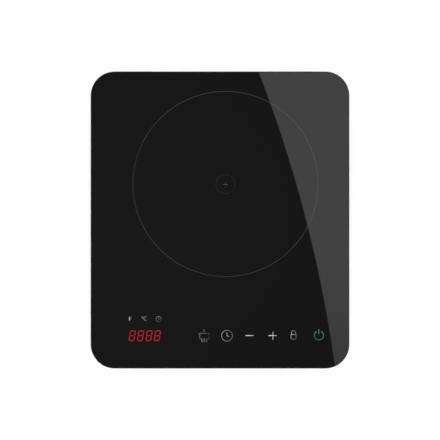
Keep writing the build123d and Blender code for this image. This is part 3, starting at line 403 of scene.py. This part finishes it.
finishes = {
    polishedGlassCeramic(): ["glass_top"],
    # case: the upper frame is finer and glossier than the tray under it
    mouldedShell("satinShell", ("#151515", "#191919"), 0.55 * mm, 0.04 * mm, (0.26, 0.42)): [
        "upper_frame",
    ],
    mouldedShell("pebbledShell", ("#191919", "#1f1f20"), 0.95 * mm, 0.16 * mm, (0.4, 0.7)): [
        "bottom_housing",
    ],
    mouldedRubber("blackSilicone", "#0e0e0e", "#161616"): ["glass_seal", "cord_gland"],
    mouldedRubber("greyFootRubber", "#2b2b2b", "#3a3a39"): [
        "foot_front_left", "foot_front_right", "foot_rear_left", "foot_rear_right",
    ],
    mouldedRubber("whiteSilicone", "#d0cfc9", "#e2e1dc"): ["sensor_boot", "sensor_lead"],
    mouldedRubber("bondedMagnet", "#1d1b1b", "#272424"): ["fan_magnet"],
    mouldedRubber("redWire", "#8f1512", "#a81c17"): ["fan_lead"],
    brushedFoil(): ["rating_plate"],
    # zinc plate over rolled threads and a cold-headed head: bright, blotchy, slightly blue
    plainFinish("zincPlate", "#9a9ca0", "#c3c5c8", 1.5 * mm, (0.25, 0.45), metallic=1.0): [
        "housing_screws", "coil_screws", "main_board_screws", "device_screws", "fan_screws",
        "control_board_screws",
    ],
    # enamelled copper strands: bands stand in for the twist of the bundle
    stripes("litzCopper", "#7d4326", "#d08456", 0.6 * mm, "DIAGONAL", (0.3, 0.5), 1.0): ["induction_coil"],
    stripes("enamelledCopper", "#7a3a1e", "#c47844", 0.9 * mm, "X", (0.2, 0.4), 1.0): ["choke_winding"],
    stripes("glassFibreSleeve", "#b5b0a2", "#dedacd", 0.8 * mm, "DIAGONAL", (0.7, 0.9)): ["coil_leads"],
    stripes("ribbonConductors", "#7c7d80", "#a8a9ad", 1.27 * mm, "X", (0.4, 0.55)): ["ribbon_cable"],
    stripes("siliconSteelStack", "#56585b", "#8b8d90", 0.5 * mm, "Z", (0.35, 0.5), 1.0): ["fan_stator"],
    # extruded aluminium: die lines along each fin
    stripes("extrudedAluminium", "#aeb0b3", "#cfd1d3", 0.7 * mm, "Z", (0.3, 0.45), 1.0): ["heatsink"],
    # glass-filled nylon: dull charcoal with pale fibre specks
    plainFinish("glassFilledNylon", "#1b1b1b", "#2b2b2a", 0.8 * mm, (0.5, 0.7), 0.05 * mm): [
        "coil_former", "fan_frame", "fan_impeller", "indicator_mask",
    ],
    # pressed and sintered ferrite: dark grey, faintly glittering
    plainFinish("sinteredFerrite", "#222326", "#33353a", 0.6 * mm, (0.45, 0.65), 0.03 * mm, ior=2.0): [
        "ferrite_bars", "choke_core", "transformer_core",
    ],
    micaSheet(): ["mica_sheet"],
    solderMask("greenSolderMask", "#12401f", "#2c6b39"): ["main_board"],
    solderMask("darkSolderMask", "#0b1f14", "#173a26"): ["control_board"],
    # moulded epoxy: matt black with laser-dulled patches
    plainFinish("mouldedEpoxy", "#141414", "#1f1f1f", 1.2 * mm, (0.5, 0.68)): [
        "igbt", "bridge_rectifier", "driver_chip", "touch_chip",
    ],
    # glossy thermoplastic cans, boxes and bodies
    plainFinish("blackCan", "#101010", "#181818", 3 * mm, (0.25, 0.4)): ["buzzer", "digit_display"],
    plainFinish("paleFilmBox", "#b3ad8c", "#c4be9f", 5 * mm, (0.3, 0.45)): [
        "smoothing_capacitor", "resonant_capacitor",
    ],
    plainFinish("yellowFilmBox", "#b9992f", "#cbab3d", 5 * mm, (0.3, 0.45)): ["mains_filter_capacitor"],
    plainFinish("polyesterTape", "#b5a63a", "#cdbd4c", 4 * mm, (0.2, 0.35)): ["transformer_winding"],
    plainFinish("shrinkSleeve", "#181c3c", "#232a52", 3 * mm, (0.25, 0.4)): ["electrolytic_capacitors"],
    plainFinish("whiteCeramic", "#d8d4c9", "#e6e2d8", 2 * mm, (0.3, 0.5), ior=1.7): ["mains_fuse"],
    plainFinish("blueDipCoat", "#1b3c85", "#274f9f", 1.5 * mm, (0.25, 0.4), 0.05 * mm): ["varistor"],
    plainFinish("greenNylon", "#1d5a34", "#2a7044", 3 * mm, (0.35, 0.5)): ["mains_terminal_block"],
    plainFinish("whiteNylon", "#d9d6cb", "#e6e3d9", 2 * mm, (0.35, 0.5)): ["board_sockets"],
    # turned or pressed brass under tin or nickel
    plainFinish("tinnedBrass", "#b8ab84", "#d6cba6", 1 * mm, (0.25, 0.4), metallic=1.0): [
        "fuse_clips", "coil_terminals", "touch_springs",
    ],
    plainFinish("sinteredBronze", "#8a6534", "#b98d4e", 0.4 * mm, (0.4, 0.6), 0.04 * mm, 1.0): [
        "fan_bearing",
    ],
    plainFinish("groundSteel", "#a9abae", "#c9cbcd", 0.8 * mm, (0.15, 0.3), metallic=1.0): ["fan_spindle"],
    plainFinish("glassBead", "#7a4a2c", "#95603c", 0.8 * mm, (0.08, 0.2)): ["glass_thermistor"],
    plainFinish("lampLens", "#c9c7b4", "#e4e2d0", 0.8 * mm, (0.15, 0.3)): ["key_leds", "indicator_leds"],
    litLegend("redDiffuser", "#b01a2c", "#7c101d", digitHigh, 60 * mm): ["display_segments"],
}

dressed = set()
for material, names in finishes.items():
    for name in names:
        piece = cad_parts[name]
        piece.data.materials.clear()
        piece.data.materials.append(material)
        dressed.add(name)
print("dressed", len(dressed), "of", len(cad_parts), "nodes")

# the print is drawn a touch tighter than the parts under it, as film shrinks in firing
printLook = {"low": glassTop - 0.01 * mm, "high": glassTop + 0.02 * mm, "shrink": 0.997}


def addStroke(bm, path, width, closed=False):
    # a flat line of one width along a path, its corners mitred
    path = [Vector(p) for p in path]
    count = len(path)
    rings = []
    for i, here in enumerate(path):
        sides = []
        if closed or i > 0:
            sides.append((here - path[i - 1]).normalized())
        if closed or i < count - 1:
            sides.append((path[(i + 1) % count] - here).normalized())
        normals = [Vector((-s.y, s.x)) for s in sides]
        normal = sum(normals, Vector((0, 0))).normalized()
        half = normal * (width / 2 / max(0.5, normal.dot(normals[0])))
        corners = (
            (here + half, printLook["high"]),
            (here - half, printLook["high"]),
            (here - half, printLook["low"]),
            (here + half, printLook["low"]),
        )
        rings.append([bm.verts.new((p.x, p.y, z)) for p, z in corners])
    for i in range(count if closed else count - 1):
        here, there = rings[i], rings[(i + 1) % count]
        for k in range(4):
            bm.faces.new((here[k], here[(k + 1) % 4], there[(k + 1) % 4], there[k]))
    if not closed:
        bm.faces.new(rings[0][::-1])
        bm.faces.new(rings[-1])


def arc(centre, radius, start, stop, steps=32):
    # points on a round stretch, in degrees
    angles = [math.radians(start + (stop - start) * k / steps) for k in range(steps + 1)]
    return [(centre[0] + radius * math.cos(a), centre[1] + radius * math.sin(a)) for a in angles]


def ring(centre, radius, steps=64):
    return arc(centre, radius, 0, 360 - 360 / steps, steps - 1)


def plainObject(name, bm, material):
    # the finished bmesh as an object of one material
    mesh = bpy.data.meshes.new(name)
    bm.to_mesh(mesh)
    bm.free()
    mesh.materials.append(material)
    piece = bpy.data.objects.new(name, mesh)
    bpy.context.scene.collection.objects.link(piece)
    return piece


def legendPiece(name, at, strokes, material):
    # strokes are (points in millimetres from the key's middle, width, closed)
    bm = bmesh.new()
    middle = at * printLook["shrink"]
    for points, width, closed in strokes:
        addStroke(bm, [(middle.x + x * mm, middle.y + y * mm) for x, y in points], width * mm, closed)
    bmesh.ops.recalc_face_normals(bm, faces=bm.faces)
    piece = plainObject(name, bm, material)
    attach(piece, "housing")


# pan ring: short dashes of grey ink round the zone's centre mark
panRing = {
    "radius": 100.1 * mm,
    "dashCount": 286,
    "dash": (0.8 * mm, 0.6 * mm, 0.03 * mm),
    "lift": 0.005 * mm,
    "shift": -0.45 * mm,  # the print sits a little left of the coil
}
printCentre = zoneCentre + Vector((panRing["shift"], 0, 0))
ringInk = ceramicInk("greyCeramicInk", "#4a4a4a", "#585858")


def dashRingTree(material):
    tree = bpy.data.node_groups.new("dashRing", "GeometryNodeTree")
    tree.interface.new_socket("Geometry", in_out="OUTPUT", socket_type="NodeSocketGeometry")
    wanted = (
        ("Radius", "NodeSocketFloat"),
        ("Dash Count", "NodeSocketInt"),
        ("Dash Size", "NodeSocketVector"),
        ("Centre", "NodeSocketVector"),
    )
    for name, kind in wanted:
        tree.interface.new_socket(name, in_out="INPUT", socket_type=kind)
    given = addNode(tree, "NodeGroupInput").outputs
    circle = addNode(
        tree, "GeometryNodeCurvePrimitiveCircle", {"Resolution": 360}, {"Radius": given["Radius"]}
    )
    spots = addNode(
        tree,
        "GeometryNodeCurveToPoints",
        {"mode": "COUNT"},
        {"Curve": circle.outputs["Curve"], "Count": given["Dash Count"]},
    )
    dash = addNode(tree, "GeometryNodeMeshCube", links={"Size": given["Dash Size"]})
    along = addNode(
        tree, "FunctionNodeAlignRotationToVector", {"axis": "X"}, {"Vector": spots.outputs["Tangent"]}
    )
    laid = addNode(
        tree,
        "GeometryNodeInstanceOnPoints",
        links={
            "Points": spots.outputs["Points"],
            "Instance": dash.outputs["Mesh"],
            "Rotation": along.outputs["Rotation"],
        },
    )
    moved = addNode(
        tree,
        "GeometryNodeTransform",
        links={"Geometry": laid.outputs["Instances"], "Translation": given["Centre"]},
    )
    real = addNode(tree, "GeometryNodeRealizeInstances", links={"Geometry": moved.outputs["Geometry"]})
    dressedUp = addNode(
        tree, "GeometryNodeSetMaterial", {"Material": material}, {"Geometry": real.outputs["Geometry"]}
    )
    addNode(tree, "NodeGroupOutput", links={"Geometry": dressedUp.outputs["Geometry"]})
    return tree


def makeFromTree(name, tree, values, body):
    # runs a node tree on an empty mesh and keeps the result as a plain piece
    source = bpy.data.objects.new(name + "Source", bpy.data.meshes.new(name + "Source"))
    bpy.context.scene.collection.objects.link(source)
    modifier = source.modifiers.new("maker", "NODES")
    modifier.node_group = tree
    for item in tree.interface.items_tree:
        if item.item_type == "SOCKET" and item.in_out == "INPUT":
            modifier[item.identifier] = values[item.name]
    evaluated = source.evaluated_get(bpy.context.evaluated_depsgraph_get())
    mesh = bpy.data.meshes.new_from_object(evaluated)
    source.modifiers.remove(modifier)
    bpy.data.objects.remove(source)
    mesh.name = name
    piece = bpy.data.objects.new(name, mesh)
    bpy.context.scene.collection.objects.link(piece)
    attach(piece, body)


makeFromTree(
    "pan_ring",
    dashRingTree(ringInk),
    {
        "Radius": panRing["radius"],
        "Dash Count": panRing["dashCount"],
        "Dash Size": panRing["dash"],
        "Centre": (printCentre.x, printCentre.y, glassTop + panRing["lift"]),
    },
    "housing",
)

# thin ring and small cross at the middle of the zone
centreMark = {
    "radius": 10.3,
    "line": 0.28,
    "across": 2.7,
    "low": -0.35,
    "acrossLine": 0.33,
    "up": 3.8,
    "down": 3.4,
    "uprightLine": 0.13,
}
faintInk = ceramicInk("faintCeramicInk", "#2c2d2d", "#353636")


def crossStrokes(look):
    bar = [(-look["across"], look["low"]), (look["across"], look["low"])]
    upright = [(0, -look["down"]), (0, look["up"])]
    return [(bar, look["acrossLine"], False), (upright, look["uprightLine"], False)]


centreCircle = [(ring((0, 0), centreMark["radius"]), centreMark["line"], True)]
legendPiece("zone_centre_ring", printCentre, centreCircle, faintInk)
legendPiece("zone_centre_cross", printCentre, crossStrokes(centreMark), ringInk)
print("pan ring and centre mark printed")


def litWindow(name, key, look):
    # the window's light: its tones over the lamp and far from it, and where the lamp sits behind the key
    x, y = look["lamp"]
    near, far = look["tones"]
    return litLegend(name, near, far, (key.x + x * mm, key.y + y * mm, glassTop), look["reach"] * mm)


# sizes of the legends are in millimetres from the middle of each key
potLook = {
    "tones": ("#727272", "#343434"),
    "lamp": (-3.5, -1.0),
    "reach": 11,
    "rim": (-6.1, 6.6),
    "rimHeight": 2.5,
    "sides": (-4.6, 5.6),
    "bottom": -3.6,
    "round": 1.2,
    "line": 0.6,
    "rimLine": 0.69,
    "steam": (4.1, 7.0),
    "steamAside": 0.15,
    "steamLine": 1.7,
    "flames": (-2.2, 0.4, 2.9),
    "flameDrop": (0.6, 3.3),
    "flameLine": 1.35,
    "burner": (1.1, 3.2),
    "burnerLine": 0.45,
}


def potStrokes(look):
    # straight-sided pan with a wide rim, steam above and three flames on a burner below
    left, right = look["sides"]
    low, high, rounding = look["bottom"], look["rimHeight"], look["round"]
    bowl = [(left, high)]
    bowl += arc((left + rounding, low + rounding), rounding, 180, 270, 8)
    bowl += arc((right - rounding, low + rounding), rounding, 270, 360, 8)
    bowl += [(right, high)]
    strokes = [(bowl, look["line"], False)]
    strokes.append(([(x, high) for x in look["rim"]], look["rimLine"], False))
    strokes.append(([(look["steamAside"], y) for y in look["steam"]], look["steamLine"], False))
    for x in look["flames"]:
        strokes.append(([(x, low - drop) for drop in look["flameDrop"]], look["flameLine"], False))
    overhang, drop = look["burner"]
    ends = (look["flames"][0] - overhang, look["flames"][-1] + overhang)
    strokes.append(([(x, low - drop) for x in ends], look["burnerLine"], False))
    return strokes


potLight = litWindow("panKeyLight", potKey, potLook)
legendPiece("pan_key_legend", potKey, potStrokes(potLook), potLight)

timerLook = {
    "tones": ("#a4a4a4", "#6c6c6c"),
    "lamp": (-3.0, 1.0),
    "reach": 10,
    "radius": 5.85,
    "line": 0.56,
    "hands": [(0, 3.6), (0, 0), (2.3, -1.1)],
    "handLine": 0.7,
}


def clockStrokes(look, middle=(0, 0), steps=64):
    # round clock face with its two hands
    face = ring(middle, look["radius"], steps)
    return [(face, look["line"], True), (look["hands"], look["handLine"], False)]


timerLight = litWindow("timerKeyLight", timerKey, timerLook)
legendPiece("timer_key_legend", timerKey, clockStrokes(timerLook), timerLight)

minusLook = {
    "tones": ("#e6e6e6", "#585858"),
    "lamp": (-3.4, 0),
    "reach": 11,
    "bar": [(-4.6, 0.19), (4.2, 0.19)],
    "line": 0.76,
}
minusLight = litWindow("minusKeyLight", minusKey, minusLook)
legendPiece("minus_key_legend", minusKey, [(minusLook["bar"], minusLook["line"], False)], minusLight)

plusLook = {
    "tones": ("#e2e2e2", "#5a5a5a"),
    "lamp": (-3.4, 0),
    "reach": 12,
    "bar": [(-4.4, 0.19), (4.4, 0.19)],
    "line": 0.76,
    "upright": [(0.31, -4.4), (0.31, 4.4)],
    "uprightLine": 0.58,
}
plusStrokes = [
    (plusLook["bar"], plusLook["line"], False),
    (plusLook["upright"], plusLook["uprightLine"], False),
]
plusLight = litWindow("plusKeyLight", plusKey, plusLook)
legendPiece("plus_key_legend", plusKey, plusStrokes, plusLight)

lockLook = {
    "tones": ("#9a9a9a", "#3e3e3e"),
    "lamp": (-2.6, 1.6),
    "reach": 8,
    "half": 2.75,
    "bar": 1.3,
    "low": -3.9,
    "high": 5.5,
    "round": 1.9,
    "shackle": 2.3,
    "line": 0.75,
}


def lockStrokes(look):
    # closed padlock: round-bottomed body under an arched shackle
    half, low, rounding = look["half"], look["low"], look["round"]
    body = [(-half, look["bar"])]
    body += arc((-half + rounding, low + rounding), rounding, 180, 270, 10)
    body += arc((half - rounding, low + rounding), rounding, 270, 360, 10)
    body += [(half, look["bar"])]
    loop = look["shackle"]
    shackle = [(-loop, look["bar"])]
    shackle += arc((0, look["high"] - loop), loop, 180, 0, 20)
    shackle += [(loop, look["bar"])]
    bar = [(-half, look["bar"]), (half, look["bar"])]
    return [(path, look["line"], False) for path in (body, shackle, bar)]


lockLight = litWindow("lockKeyLight", lockKey, lockLook)
legendPiece("lock_key_legend", lockKey, lockStrokes(lockLook), lockLight)

powerLook = {
    "tones": ("#7a949a", "#536b70"),
    "lamp": (0, 5.5),
    "reach": 8,
    "middle": (0.2, 0.3),
    "radius": 4.9,
    "gap": 30,
    "line": 0.66,
    "stem": [(0.05, 1.9), (0.05, 7.1)],
    "stemLine": 0.56,
}


def powerStrokes(look):
    # ring with a gap at its top, in degrees each side, and a short stem in the gap
    circle = arc(look["middle"], look["radius"], 90 + look["gap"], 450 - look["gap"], 56)
    return [(circle, look["line"], False), (look["stem"], look["stemLine"], False)]


powerLight = litWindow("powerKeyLight", powerKey, powerLook)
legendPiece("power_key_legend", powerKey, powerStrokes(powerLook), powerLight)

# small indicators over the digits: level letter, degree sign and clock
levelLook = {
    "tones": ("#c8c8c8", "#303030"),
    "lamp": (-2.0, 0.9),
    "reach": 3.6,
    "stem": [(-1.35, -2.4), (-1.35, 2.6)],
    "stemLine": 0.85,
    "bowl": (0.1, 1.15),
    "bowlRadius": 1.15,
    "bowlLine": 0.55,
}


def levelStrokes(look):
    # upright letter: a stem with a round bowl at its top right
    left = look["stem"][0][0]
    x, y = look["bowl"]
    top = y + look["bowlRadius"]
    bowl = [(left, top), (x, top)] + arc(look["bowl"], look["bowlRadius"], 90, -90, 12) + [(left, 0.0)]
    return [(look["stem"], look["stemLine"], False), (bowl, look["bowlLine"], False)]


levelLight = litWindow("levelLampLight", levelLamp, levelLook)
legendPiece("level_indicator", levelLamp, levelStrokes(levelLook), levelLight)

heatLook = {
    "tones": ("#868686", "#525252"),
    "lamp": (-0.5, 1.0),
    "reach": 5,
    "degree": (-2.0, 1.75),
    "degreeRadius": 0.8,
    "degreeLine": 0.5,
    "letter": (1.6, 0.55),
    "letterRadius": 2.05,
    "letterGap": 50,
    "letterLine": 0.7,
}


def heatStrokes(look):
    # degree sign beside an open round letter
    degree = ring(look["degree"], look["degreeRadius"], 20)
    letter = arc(look["letter"], look["letterRadius"], look["letterGap"], 360 - look["letterGap"], 24)
    return [(degree, look["degreeLine"], True), (letter, look["letterLine"], False)]


heatLight = litWindow("heatLampLight", heatLamp, heatLook)
legendPiece("temperature_indicator", heatLamp, heatStrokes(heatLook), heatLight)

clockLook = {
    "tones": ("#7d7d7d", "#444444"),
    "lamp": (-1.0, 2.6),
    "reach": 6,
    "radius": 2.75,
    "line": 0.5,
    "hands": [(0, 1.9), (0, 0.1), (1.2, 0.1)],
    "handLine": 0.45,
}
clockLampLight = litWindow("clockLampLight", clockLamp, clockLook)
legendPiece("clock_indicator", clockLamp, clockStrokes(clockLook, (0, 0.1), 40), clockLampLight)

digitLook = {"tones": ("#982a38", "#862436"), "reach": 60 * mm, "weld": 0.001 * mm}
digitLight = litLegend("digitLight", *digitLook["tones"], digitHigh, digitLook["reach"])


def litDigits():
    # the display's own segments, carried up to the face of the glass, where the eye sees their light
    bm = bmesh.new()
    bm.from_mesh(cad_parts["display_segments"].data)
    bmesh.ops.remove_doubles(bm, verts=bm.verts, dist=digitLook["weld"])
    for v in bm.verts:
        share = (v.co.z - digitLow.z) / (digitHigh.z - digitLow.z)
        v.co *= printLook["shrink"]
        v.co.z = printLook["low"] + share * (printLook["high"] - printLook["low"])
    piece = plainObject("digit_light", bm, digitLight)
    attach(piece, "housing")


litDigits()
print("legends and digits lit")

# studio, in metres: heights of the tent's tones and of its hole are parts of the way up to the zenith
studio = {
    "cameraHeight": 1.1235,
    "lens": 85,
    "sensor": 36,
    "floorHalf": 12.0,
    "tent": ((0.0, 0.95), (0.14, 0.42), (0.42, 0.2), (0.95, 0.14)),
    "hole": (0.955, 0.975),
    "holeLevels": (0.085, 0.025),
    "holeGlow": (-0.08, 0.0, 1.0),
    "holeGlowReach": (0.05, 0.25),
    "backdropRadius": 11.5,
    "backdropHeight": 8,
    "backdropFade": (-11, 11),
    "backdropLevels": (1.12, 1.1424),
    "overheadStrength": 3.25,
    "overheadSpread": 24,
}


def stagePiece(name, bm, material):
    piece = plainObject(name, bm, material)
    return piece


def makeFloor():
    half = studio["floorHalf"]
    bm = bmesh.new()
    bm.faces.new([bm.verts.new((x * half, y * half, 0)) for x, y in ((-1, -1), (1, -1), (1, 1), (-1, 1))])
    stagePiece("floor", bm, studioFloor())


def glowingCloth(name, front, rear, levels):
    # evenly lit cloth: its glow eases from one level to another along the depth of the studio
    material, tree, place = startMaterial(name)
    apart = addNode(tree, "ShaderNodeSeparateXYZ", links={"Vector": place})
    fade = addNode(
        tree,
        "ShaderNodeMapRange",
        {
            "interpolation_type": "SMOOTHSTEP",
            "From Min": front,
            "From Max": rear,
            "To Min": levels[0],
            "To Max": levels[1],
        },
        {"Value": apart.outputs["Y"]},
    )
    glow = fade.outputs["Result"]
    cloth = addNode(tree, "ShaderNodeEmission", {"Color": (1, 1, 1, 1)}, {"Strength": glow})
    addNode(tree, "ShaderNodeOutputMaterial", links={"Surface": cloth.outputs["Emission"]})
    return material


def makeBackdrop():
    # round white backdrop far behind the floor, too far off to light the object
    bm = bmesh.new()
    bmesh.ops.create_circle(bm, radius=studio["backdropRadius"], segments=96)
    raised = bmesh.ops.extrude_edge_only(bm, edges=bm.edges[:])
    tops = [v for v in raised["geom"] if isinstance(v, bmesh.types.BMVert)]
    bmesh.ops.translate(bm, verts=tops, vec=(0, 0, studio["backdropHeight"]))
    cloth = glowingCloth("whiteBackdrop", *studio["backdropFade"], studio["backdropLevels"])
    wall = stagePiece("backdrop", bm, cloth)
    wall.visible_glossy = False
    wall.visible_diffuse = False
    wall.visible_shadow = False


def makeTent():
    # white tent, bright low down and dim overhead, with a dark hole that the polished glass mirrors
    world = bpy.data.worlds.new("studioTent")
    bpy.context.scene.world = world
    world.use_nodes = True
    tree = world.node_tree
    tree.nodes.clear()
    direction = addNode(tree, "ShaderNodeTexCoord").outputs["Generated"]
    apart = addNode(tree, "ShaderNodeSeparateXYZ", links={"Vector": direction})
    levels = addNode(tree, "ShaderNodeValToRGB", links={"Fac": apart.outputs["Z"]})
    stops = levels.color_ramp.elements
    while len(stops) < len(studio["tent"]):
        stops.new(0.5)
    for stop, (height, level) in zip(stops, studio["tent"]):
        stop.position = height
        stop.color = (level, level, level, 1)
    rim, inside = studio["hole"]
    inHole = addNode(
        tree,
        "ShaderNodeMapRange",
        {"interpolation_type": "SMOOTHSTEP", "From Min": rim, "From Max": inside},
        {"Value": apart.outputs["Z"]},
    )
    fromGlow = addNode(
        tree, "ShaderNodeVectorMath", {"operation": "DISTANCE", 1: studio["holeGlow"]}, {0: direction}
    )
    near, far = studio["holeGlowReach"]
    bright, dark = studio["holeLevels"]
    holeLevel = addNode(
        tree,
        "ShaderNodeMapRange",
        {"From Min": near, "From Max": far, "To Min": bright, "To Max": dark},
        {"Value": fromGlow.outputs["Value"]},
    )
    colour = blend(tree, inHole.outputs["Result"], levels.outputs["Color"], holeLevel.outputs["Result"])
    tent = addNode(tree, "ShaderNodeBackground", {"Strength": 1.0}, {"Color": colour})
    addNode(tree, "ShaderNodeOutputWorld", links={"Surface": tent.outputs["Background"]})


def makeOverheadLight():
    # large soft source far above: evens out the floor and leaves only a narrow shadow
    light = bpy.data.lights.new("overheadSoftLight", "SUN")
    light.energy = studio["overheadStrength"]
    light.angle = math.radians(studio["overheadSpread"])
    lamp = bpy.data.objects.new("overheadSoftLight", light)
    lamp.visible_glossy = False
    bpy.context.scene.collection.objects.link(lamp)


# overhead softbox: its rounded edge crosses the glass as a soft grey reflection on the right;
# the edge is stated in millimetres where the glass mirrors it, the height and fade in metres
softbox = {
    "rear": (41.7, 160.5),
    "front": (124.7, -160.5),
    "bulge": 9.7,
    "right": 330.0,
    "reach": 330.0,
    "height": 1.6,
    "strength": 1.07,
    "dimmest": 0.72,
    "fade": (-0.42, -0.1),
}


def softboxOutline():
    rear, front = Vector(softbox["rear"]), Vector(softbox["front"])
    chord = front - rear
    bulge = softbox["bulge"]
    radius = chord.length ** 2 / (8 * bulge) + bulge / 2
    outward = Vector((-chord.y, chord.x)).normalized()
    centre = (rear + front) / 2 + outward * (bulge - radius)
    reach = softbox["reach"]
    start, stop = [math.degrees(math.asin((y - centre.y) / radius)) for y in (-reach, reach)]
    return arc(centre, radius, start, stop, 48) + [(softbox["right"], reach), (softbox["right"], -reach)]


def makeSoftbox():
    # the outline grows from the glass up to the softbox, as seen by way of the mirror
    grow = (1 + softbox["height"] / studio["cameraHeight"]) * mm
    height = glassTop + softbox["height"]
    bm = bmesh.new()
    bm.faces.new([bm.verts.new((x * grow, y * grow, height)) for x, y in softboxOutline()])
    strength = softbox["strength"]
    cloth = glowingCloth("softboxCloth", *softbox["fade"], (strength * softbox["dimmest"], strength))
    panel = stagePiece("softbox", bm, cloth)
    panel.visible_camera = False
    panel.visible_diffuse = False
    panel.visible_shadow = False


def makeCamera():
    data = bpy.data.cameras.new("camera")
    data.lens = studio["lens"]
    data.sensor_width = studio["sensor"]
    camera = bpy.data.objects.new("camera", data)
    camera.location = (0, 0, glassTop + studio["cameraHeight"])
    bpy.context.scene.collection.objects.link(camera)
    bpy.context.scene.camera = camera


makeFloor()
makeBackdrop()
makeTent()
makeOverheadLight()
makeSoftbox()
makeCamera()
bpy.context.scene.view_settings.view_transform = "Standard"
print("studio ready")
